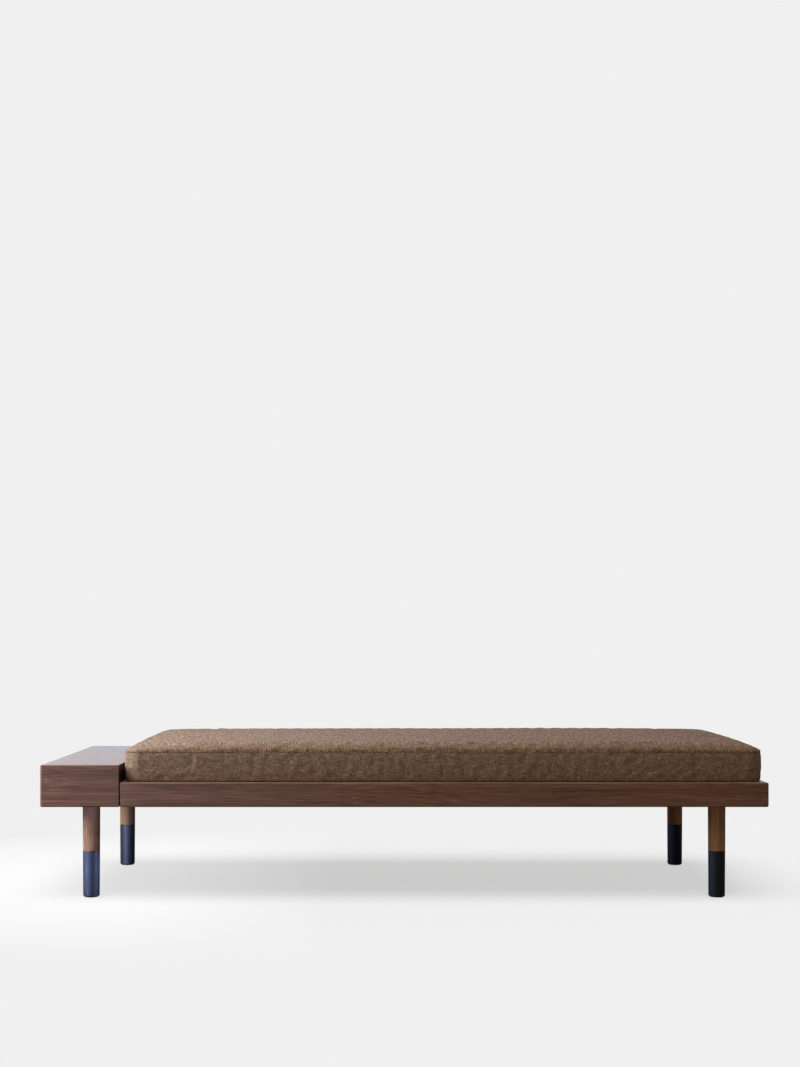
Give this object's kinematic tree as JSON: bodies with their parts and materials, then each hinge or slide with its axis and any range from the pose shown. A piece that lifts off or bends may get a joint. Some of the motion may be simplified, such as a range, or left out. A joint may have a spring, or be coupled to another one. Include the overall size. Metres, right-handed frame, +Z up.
{
  "type": "backless divan",
  "caption": "Low backless divan: walnut frame on turned legs in black sleeves, closed box table at the left end, slatted deck and a loose zipped mattress.",
  "frame": {"origin": "on the floor, under the middle of the divan's length and depth", "axes": "+X along the divan to the right, away from the box; +Y to the back; +Z up"},
  "size_m": [1.9, 0.75, 0.4153],
  "materials": {
    "walnut": "satin",
    "leg_walnut": "satin",
    "beech": "matte",
    "black_lacquer": "satin",
    "zinc_steel": "satin",
    "nylon": "matte",
    "brown_weave": "matte",
    "foam": "matte",
    "zip_tape": "matte"
  },
  "bodies": {
    "frame": {"box_front_panel": "walnut", "box_back_panel": "walnut", "box_outer_panel": "walnut", "box_inner_panel": "walnut", "box_top_panel": "walnut", "box_bottom_panel": "walnut", "box_leg_bearer": "beech", "front_rail": "walnut", "back_rail": "walnut", "end_rail": "walnut", "head_rail": "walnut", "leg_bearer": "beech", "middle_bearer": "beech", "corner_spline_front": "beech", "corner_spline_back": "beech", "shadow_gap_spacer": "nylon", "box_bolt_front": "zinc_steel", "box_bolt_back": "zinc_steel", "box_nut_front": "zinc_steel", "box_nut_back": "zinc_steel", "front_ledge": "beech", "back_ledge": "beech", "slat_01": "beech", "slat_02": "beech", "slat_03": "beech", "slat_04": "beech", "slat_05": "beech", "slat_06": "beech", "slat_07": "beech", "slat_08": "beech", "slat_09": "beech", "slat_10": "beech", "slat_11": "beech", "slat_12": "beech", "leg_shank_front_left": "leg_walnut", "leg_shank_back_left": "leg_walnut", "leg_shank_front_right": "leg_walnut", "leg_shank_back_right": "leg_walnut", "leg_sleeve_front_left": "black_lacquer", "leg_sleeve_back_left": "black_lacquer", "leg_sleeve_front_right": "black_lacquer", "leg_sleeve_back_right": "black_lacquer", "leg_glide_front_left": "nylon", "leg_glide_back_left": "nylon", "leg_glide_front_right": "nylon", "leg_glide_back_right": "nylon", "leg_hanger_bolt_front_left": "zinc_steel", "leg_hanger_bolt_back_left": "zinc_steel", "leg_hanger_bolt_front_right": "zinc_steel", "leg_hanger_bolt_back_right": "zinc_steel", "leg_insert_front_left": "zinc_steel", "leg_insert_back_left": "zinc_steel", "leg_insert_front_right": "zinc_steel", "leg_insert_back_right": "zinc_steel"},
    "mattress": {"mattress_cover": "brown_weave", "mattress_foam_core": "foam", "zip_tape": "zip_tape"},
    "zip_slider": {"zip_slider": "zinc_steel"},
    "zip_pull": {"zip_pull": "zinc_steel"}
  },
  "joints": [
    {"name": "mattress_lift", "type": "slide", "parent": "frame", "child": "mattress", "axis": [0, 0, 1], "range_m": [0, 0.25]},
    {"name": "zip_run", "type": "slide", "parent": "mattress", "child": "zip_slider", "axis": [-1, 0, 0], "range_m": [0, 1.28]},
    {"name": "zip_pull_swing", "type": "hinge", "parent": "zip_slider", "child": "zip_pull", "pos_m": [0.7474, 0.3681, 0.3503], "axis": [0, 0, -1], "range_deg": [0, 180]}
  ]
}
